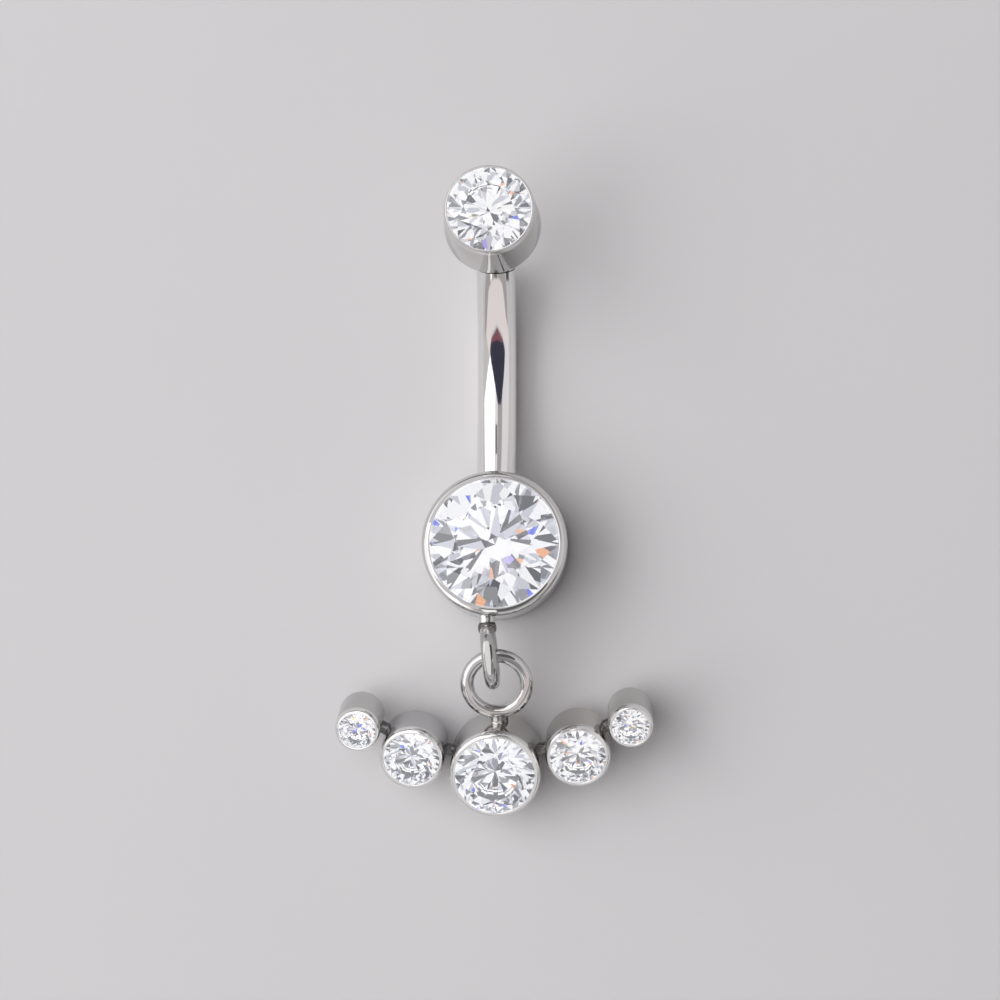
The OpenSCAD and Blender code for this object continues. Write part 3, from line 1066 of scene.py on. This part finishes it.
@dataclass
class DropGroup:
    """The lower ring, its neck, the five cups on an upward curve and the solder between them."""

    hole: Pair
    hole_reach: float
    centre: Cup = Cup("centre_cup", "centre_stone_cut", 3.7, 2.4, 0.24, seed=3)
    middle_width: float = 2.64
    middle_lip: float = 0.205
    small_width: float = 1.83
    small_lip: float = 0.175
    side_depth: float = 2.15
    side_seed: int = 4
    curve_radius: float = 8.8
    gap: float = 0.24
    turn: float = 1.2
    ring_width: float = 2.95
    wire: float = 0.55
    ring_up: float = 1.05
    ring_side: float = 0.14
    neck_gap: float = 0.12
    neck_width: float = 0.62
    neck_flares: Pair = (0.25, 0.12)
    lump_width: float = 0.42
    lump_flares: Pair = (-0.05, -0.08)
    lump_sides: Pair = (0.22, 0.2)
    lump_reach: float = 0.34
    lump_rise: float = 0.1
    joint_width: float = 0.5
    joint_up: float = 0.45
    link_gap: float = 0.03
    root: float = 0.15
    shift: float = 0.0

    def chord_angle(self, first: float, second: float) -> float:
        """Returns the angle between two neighbouring cups on the curve, in radians."""
        return 2 * asin(((first + second) / 2 + self.gap) / (2 * self.curve_radius))

    def on_curve(self, angle: float) -> Pair:
        """Returns the point of the curve at an angle from the centre cup."""
        return self.curve_radius * sin(angle), self.curve_radius * (1 - cos(angle))

    def ring_y(self) -> float:
        """Returns the lower ring's middle along Y, in the drop's frame."""
        return self.centre.width / 2 + self.neck_gap + self.ring_width / 2

    def linked(self) -> float:
        """Returns where the wire runs through the upper ring along Y, in the drop's frame."""
        return self.ring_y() + self.ring_width / 2 - self.wire / 2

    def rest_edge(self) -> float:
        """Returns the distance from the centre cup's middle to the edge that it rests on."""
        return self.centre.width / 2 - self.centre.back_edge

    def tilt(self) -> float:
        """Returns how far the drop leans, in radians, from its far edge to its ring in the upper ring."""
        reach = self.rest_edge() + self.linked()
        height = self.hole[1] - (self.hole_reach - self.wire / 2 - self.link_gap)
        return asin(height / hypot(reach, self.ring_up)) - atan(self.ring_up / reach)

    def place(self) -> Matrix:
        """Returns how the drop's frame lies."""
        tilt = self.tilt()
        y = self.hole[0] - self.linked() * cos(tilt) + self.ring_up * sin(tilt)
        move = Matrix.Translation((0, y - self.shift, self.rest_edge() * sin(tilt)))
        return move @ Matrix.Rotation(tilt, 4, "X") @ Matrix.Rotation(radians(self.turn), 4, "Z")

    def near_edge(self) -> float:
        """Returns how far the centre cup's lip reaches along Y, before the whole is centred."""
        tilt = self.tilt()
        out = self.place().translation.y - self.centre.width / 2 * cos(tilt)
        return out - (self.centre.depth - self.centre.lip_height) * sin(tilt)

    def build(self) -> None:
        """Makes every piece of the drop."""
        self.build_cups()
        self.build_ring()

    def build_cups(self) -> None:
        """Makes the five cups with their stones, and the solder between them."""
        lies, node = self.place(), "drop_settings"
        self.centre.build(lies, DROP_METAL, node, "centre_stone")
        middle = self.chord_angle(self.centre.width, self.middle_width)
        small = middle + self.chord_angle(self.middle_width, self.small_width)
        cups = (
            ("middle", middle, self.middle_width, self.middle_lip),
            ("small", small, self.small_width, self.small_lip),
        )
        runs = []
        for hand in Hand:
            side, sign = hand.name.lower(), hand.value
            seed = self.side_seed + len(runs)
            for kind, at, width, lip in cups:
                name, stone = f"{kind}_cup_{side}", f"{kind}_stone_{side}"
                x, y = self.on_curve(sign * at)
                cup = Cup(name, f"{stone}_cut", width, self.side_depth, lip, seed=seed)
                cup.build(lies @ Matrix.Translation((x, y, 0)), DROP_METAL, node, stone)
            runs.append(self.joint(0.0, sign * middle, self.centre.width))
            runs.append(self.joint(sign * middle, sign * small, self.middle_width))
        # The joints between the cups are near-black, painted shade in the gaps
        SolderJoints().lay("cup_joints", runs, self.joint_width, lies, DARK_SOLDER_PAINTED_SHADE, node)

    def joint(self, first: float, second: float, first_width: float) -> SolderRun:
        """Works out the solder between two neighbouring cups.

        Args:
            first: The first cup's angle on the curve.
            second: The second cup's angle.
            first_width: The first cup's width.

        Returns:
            The run of solder.
        """
        ax, ay = self.on_curve(first)
        bx, by = self.on_curve(second)
        along = Vector((bx - ax, by - ay, 0)).normalized()
        start = Vector((ax, ay, self.joint_up)) + along * (first_width / 2 - self.root)
        end = start + along * (self.gap + 2 * self.root)
        return SolderRun(tuple(start), tuple(end))

    def build_ring(self) -> None:
        """Makes the neck on the centre cup, the dark lump beside it and the lower ring that it carries."""
        lies, node, solder = self.place(), "drop_settings", SolderJoints()
        edge, side, up = self.centre.width / 2, self.ring_side, self.ring_up
        root, rise = edge - self.root, up + self.lump_rise
        neck = SolderRun((side, root, up), (side, edge + self.neck_gap + self.wire / 2, up), self.neck_flares)
        solder.lay("ring_neck", [neck], self.neck_width, lies, BEAD_METAL, node)
        near, far = self.lump_sides
        start, end = (side + near, root, rise), (side + far, edge + self.lump_reach, rise)
        lump = SolderRun(start, end, self.lump_flares)
        solder.lay("neck_solder", [lump], self.lump_width, lies, DARK_SOLDER_PAINTED_SHADE, node)
        there = lies @ Matrix.Translation((side, self.ring_y(), up))
        WireRing().bend("lower_ring", self.ring_width, self.wire, there, WIRE_METAL, node)


# Studio


class Seen(Enum):
    """What a piece of the studio shows up in."""

    METAL = "visible_glossy"
    STONES = "visible_transmission"


def stage_mesh(build: bmesh.types.BMesh, finish: Finish, seen: Seen) -> None:
    """Makes a piece of the studio that shows up in one kind of surface alone.

    Args:
        build: Its mesh in metres, which is freed.
        finish: Its finish, which it shares its name with.
        seen: What it shows up in.
    """
    mesh = as_mesh(finish.name, build)
    mesh.materials.append(finish.material())
    piece = put(finish.name, mesh)
    for kind in ("camera", "diffuse", "glossy", "transmission", "shadow", "volume_scatter"):
        setattr(piece, f"visible_{kind}", False)
    setattr(piece, seen.value, True)


def dome(reach: float, fineness: int) -> bmesh.types.BMesh:
    """Makes the upper half of a ball over the ring.

    Args:
        reach: Its radius in metres.
        fineness: How often its faces are split.

    Returns:
        Its mesh, still being built.
    """
    build = bmesh.new()
    bmesh.ops.create_icosphere(build, subdivisions=fineness, radius=reach)
    under = [vert for vert in build.verts if vert.co.z < 0.0]
    bmesh.ops.delete(build, geom=under, context="VERTS")
    return build


@dataclass(frozen=True)
class SkyCard:
    """A level card overhead that the metal shows, with its corners as slopes, x/z and y/z, from a spot."""

    name: str
    glow: Triple
    height: float
    corners: tuple[Pair, ...]
    spot: Pair = (0.0, 0.0)

    def build(self) -> None:
        """Makes the card, which casts no shadow and lights nothing else."""
        build = bmesh.new()
        high = self.height
        places = [(self.spot[0] + x * high, self.spot[1] + y * high, high) for x, y in self.corners]
        build.faces.new([build.verts.new(place) for place in places])
        bmesh.ops.triangulate(build, faces=build.faces)
        stage_mesh(build, Glow(self.name, self.glow), Seen.METAL)


@dataclass(frozen=True)
class SoftLight:
    """A rectangular soft light that faces the ring, in metres and watts."""

    name: str
    spot: Triple
    size: Pair
    power: float
    spares: tuple[str, ...] = ()

    def build(self) -> None:
        """Makes the light, which no metal or stone shows, and which the spared pieces don't block."""
        lamp = bpy.data.lights.new(self.name, "AREA")
        lamp.shape = "RECTANGLE"
        lamp.size, lamp.size_y = self.size
        lamp.energy = self.power
        made = put(self.name, lamp)
        made.location = self.spot
        made.rotation_euler = Vector(self.spot).to_track_quat("Z", "Y").to_euler()
        made.visible_camera = made.visible_glossy = made.visible_transmission = False
        if self.spares:
            blockers = bpy.data.collections.new(f"{self.name} blockers")
            for name in self.spares:
                blockers.objects.link(bpy.data.objects[name])
            for entry in blockers.collection_objects:
                entry.light_linking.link_state = "EXCLUDE"
            made.light_linking.blocker_collection = blockers


SPARED = ("top_cup", "top_stub", "top_stone_cut")
LIGHTS = (
    SoftLight("low key light", (-0.377, 0.020, 0.245), (0.60, 0.44), 1.36),
    SoftLight("high key light", (-0.186, 0.040, 0.408), (0.46, 0.46), 0.99, SPARED),
)
CUP_SPOT = (0.0, -0.00184)
BAR_SPOT = (0.0, 0.0052)
CARDS = (
    SkyCard("red tip", (0.24, 0.09, 0.11), 0.0044, (
        (0.049, 0.148), (0.494, 0.084), (0.408, 0.076), (0.042, 0.099), (-0.436, 0.075), (-0.403, 0.087),
    ), BAR_SPOT),
    SkyCard("dark wedge", (0.045, 0.044, 0.068), 0.0045, (
        (0.048, 0.143), (-0.403, 0.085), (-0.587, 0.032), (-0.531, 0.008), (-0.285, -0.049),
        (-0.085, -0.116), (0.107, -0.183), (0.356, -0.173), (0.562, -0.092), (0.776, -0.022), (0.876, 0.02),
        (0.461, 0.085),
    ), BAR_SPOT),
    SkyCard("cup side", (1.3, 1.29, 1.28), 0.0055, (
        (0.0, 0.45), (-3.2, 0.45), (-3.2, -1.2), (-1.0, -1.2), (0.0, -0.45),
    ), (-0.0042, -0.002)),
    SkyCard("cup shoulder", (0.76, 0.75, 0.74), 0.0042, (
        (-0.12, 0.68), (-0.345, 0.60), (-0.53, 0.44), (-0.65, 0.24), (-1.07, 0.39), (-0.87, 0.73),
        (-0.57, 0.99), (-0.2, 1.12),
    ), CUP_SPOT),
    SkyCard("cup foot", (0.14, 0.14, 0.14), 0.0054, (
        (-0.137, -0.51), (0.046, -0.528), (0.222, -0.479), (0.37, -0.37), (0.44, -0.29), (0.60, -0.39),
        (0.56, -0.56), (0.383, -0.80), (0.079, -0.904), (-0.23, -0.88),
    ), CUP_SPOT),
    SkyCard("link crest", (1.25, 1.24, 1.23), 0.0048, (
        (-0.1, -0.31), (0.08, -0.31), (0.08, 0.31), (-0.1, 0.31),
    ), (-0.0003, -0.0065)),
    SkyCard("ring side", (1.6, 1.59, 1.58), 0.005, (
        (-1.5, -0.9), (-0.1, -0.6), (0.0, 0.4), (-1.5, 0.4),
    ), (-0.0021, -0.0066)),
    SkyCard("ring middle", (0.35, 0.35, 0.35), 0.0055, (
        (-0.25, -0.21), (0.25, -0.21), (0.25, 0.21), (-0.25, 0.21),
    ), (0.00105, -0.0079)),
    SkyCard("foot pale", (0.74, 0.73, 0.72), 0.0062, ((-1.0, -4.0), (1.8, -4.0), (1.8, -2.0), (-1.0, -2.0))),
    SkyCard("overhead pale", (0.64, 0.63, 0.64), 0.30, (
        (0.06, -0.37), (-0.59, -0.29), (-0.84, -0.20), (-0.75, -0.14), (-0.40, -0.01), (-0.12, 0.11),
        (0.14, 0.23), (0.49, 0.25), (0.77, 0.10), (1.07, -0.07), (1.23, -0.21), (0.66, -0.30),
    )),
    SkyCard("dark streak", (0.2, 0.2, 0.2), 0.302, (
        (-0.12, 0.41), (0.08, 0.41), (0.12, 0.71), (-0.08, 0.70),
    )),
    SkyCard("left white", (1.6, 1.6, 1.6), 0.31, (
        (-0.75, -0.14), (-0.40, -0.01), (-0.14, 0.11), (-0.16, 0.23), (-0.2, 0.9), (-0.2, 1.6), (-4.0, 2.2),
        (-5.0, 0.7), (-2.82, 0.36), (-1.32, 0.0),
    )),
    SkyCard("middle pink", (0.80, 0.76, 0.77), 0.32, ((-0.3, 0.0), (0.12, 0.1), (0.16, 1.6), (-0.3, 1.6))),
    SkyCard("middle grey", (0.40, 0.385, 0.39), 0.325, ((0.0, 0.0), (0.65, 0.1), (0.8, 1.6), (0.1, 1.6))),
    SkyCard("right pale", (0.75, 0.725, 0.75), 0.33, (
        (0.5, 0.2), (1.0, -0.1), (1.2, -0.3), (5.0, -0.45), (5.0, 2.5), (0.7, 1.6),
    )),
    SkyCard("sparkle", (1.6, 1.55, 1.5), 0.32, ((-0.85, -1.3), (-0.55, -1.3), (-0.5, -0.9), (-0.7, -0.86))),
    SkyCard("sparkle gap", (0.16, 0.15, 0.15), 0.322, (
        (-0.4, -1.4), (0.1, -1.4), (0.15, -0.84), (-0.15, -0.86),
    )),
    SkyCard("near pink", (0.80, 0.73, 0.72), 0.335, (
        (-0.85, -0.1), (-2.0, -0.4), (-1.2, -0.84), (1.0, -0.88), (1.8, -0.6), (5.0, -0.7), (5.0, -0.4),
        (1.0, -0.1),
    )),
    SkyCard("low grey", (0.40, 0.38, 0.375), 0.34, ((-4.0, -0.5), (-4.0, -1.4), (3.0, -1.4), (3.0, -0.5))),
    SkyCard("low pale", (0.56, 0.55, 0.54), 0.345, ((-7.0, -1.2), (-7.0, -7.0), (0.8, -7.0), (0.3, -1.35))),
    SkyCard("left grey", (0.56, 0.55, 0.55), 0.35, ((-8.0, -1.5), (-0.8, -0.3), (-0.7, 0.0), (-8.0, 0.8))),
)


@dataclass
class Studio:
    """The surface, the lights, what the metal and the stones show of the room, and the camera, in metres."""

    floor_size: float = 3.0
    room: Triple = (0.184, 0.182, 0.186)
    room_fall: float = 0.55
    metal_room: Glow = Glow("room dome", (0.58, 0.575, 0.58))
    metal_reach: float = 1.4
    metal_fineness: int = 3
    sky: StoneSky = StoneSky()
    sky_fineness: int = 4
    camera_height: float = 0.090
    camera_lean: float = 2.85
    camera_aim: Triple = (0.000175, -0.00018, 0.002)
    focal_pixels: float = 2227.0
    frame_pixels: int = 1000

    def build(self) -> None:
        """Sets up the whole studio."""
        self.build_floor()
        self.build_room()
        self.build_camera()
        stage_mesh(dome(self.metal_reach, self.metal_fineness), self.metal_room, Seen.METAL)
        stage_mesh(dome(self.sky.reach, self.sky_fineness), self.sky, Seen.STONES)
        for thing in (*LIGHTS, *CARDS):
            thing.build()
        bpy.context.scene.view_settings.view_transform = "Standard"

    def build_floor(self) -> None:
        """Makes the pale surface."""
        half = self.floor_size / 2
        mesh = bpy.data.meshes.new("floor")
        corners = [(-half, -half, 0), (half, -half, 0), (half, half, 0), (-half, half, 0)]
        mesh.from_pydata(corners, [], [(0, 1, 2, 3)])
        mesh.materials.append(PaleSurface().material())
        floor = put("floor", mesh)

    def build_room(self) -> None:
        """Gives the room its soft light, which falls off from the left to the right."""
        room = bpy.data.worlds.new("room")
        room.use_nodes = True
        tree = room.node_tree
        place = add_node(tree, "ShaderNodeTexCoord").outputs["Generated"]
        parts = add_node(tree, "ShaderNodeSeparateXYZ", {"Vector": place}).outputs
        fall = {0: parts["X"], 1: -self.room_fall, 2: 1.0}
        light = add_node(tree, "ShaderNodeMath", fall, operation="MULTIPLY_ADD").outputs[0]
        fill(tree, tree.nodes["Background"], {"Color": self.room, "Strength": light})
        bpy.context.scene.world = room

    def build_camera(self) -> None:
        """Places the camera as the photograph was taken, nearly straight above."""
        lens = bpy.data.cameras.new("camera")
        lens.sensor_width = 36.0
        lens.lens = self.focal_pixels * lens.sensor_width / self.frame_pixels
        lens.clip_start = 0.002
        lens.clip_end = 20.0
        camera = put("camera", lens)
        lean = radians(self.camera_lean)
        reach = Vector((sin(lean), 0, cos(lean))) * self.camera_height
        camera.location = Vector(self.camera_aim) + reach
        camera.rotation_euler = (0, lean, 0)
        bpy.context.scene.camera = camera


def main() -> None:
    """Builds the ring and its studio."""
    logging.basicConfig(level=logging.INFO, format="%(name)s: %(message)s")
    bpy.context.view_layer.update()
    bar = BarGroup(Bend())
    drop = DropGroup(bar.hole(), bar.ring_width / 2 - bar.wire)
    bar.shift = drop.shift = (bar.far_edge() + drop.near_edge()) / 2
    bar.build()
    drop.build()
    Studio().build()


if __name__ == "__main__":
    main()
